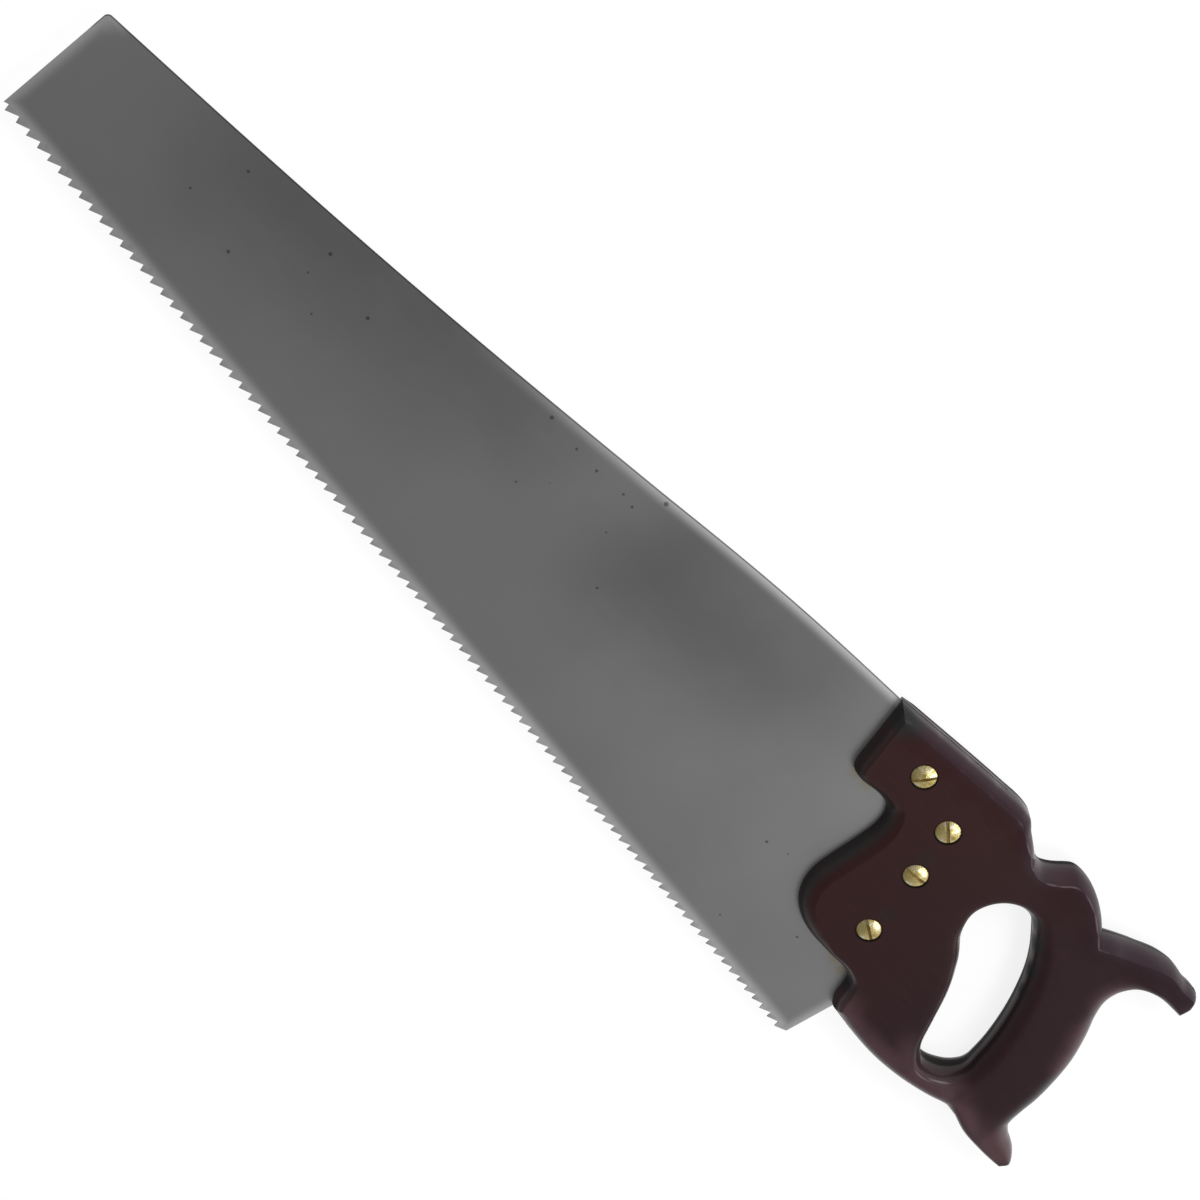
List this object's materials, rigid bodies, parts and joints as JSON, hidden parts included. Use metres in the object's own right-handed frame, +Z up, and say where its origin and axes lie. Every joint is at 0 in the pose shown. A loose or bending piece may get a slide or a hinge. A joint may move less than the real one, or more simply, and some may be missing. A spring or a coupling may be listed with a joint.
{
  "type": "handsaw",
  "caption": "Panel handsaw: tapered steel blade with raked, set teeth, let into a carved closed hardwood handle held by slotted brass nuts and square-necked bolts.",
  "frame": {"origin": "under the middle of the saw's outline, on the handle's underside, with the saw lying flat and the nuts up", "axes": "+X along the tooth line from the toe to the handle, +Y from the teeth to the back, +Z up through the thickness, towards the nuts"},
  "size_m": [0.6826, 0.179, 0.0225],
  "materials": {
    "blade_steel": "satin ground steel with fine lengthwise polish lines and a few small dark pits",
    "varnished_wood": "dark red-brown hardwood under a glossy varnish",
    "nut_brass": "worn bright brass, slotted",
    "bolt_brass": "worn bright brass, plain shallow dome"
  },
  "bodies": {
    "root": {"saw_plate": "blade_steel", "handle": "varnished_wood", "saw_nut_1": "nut_brass", "saw_nut_2": "nut_brass", "saw_nut_3": "nut_brass", "saw_nut_4": "nut_brass", "saw_bolt_1": "bolt_brass", "saw_bolt_2": "bolt_brass", "saw_bolt_3": "bolt_brass", "saw_bolt_4": "bolt_brass"}
  },
  "joints": []
}
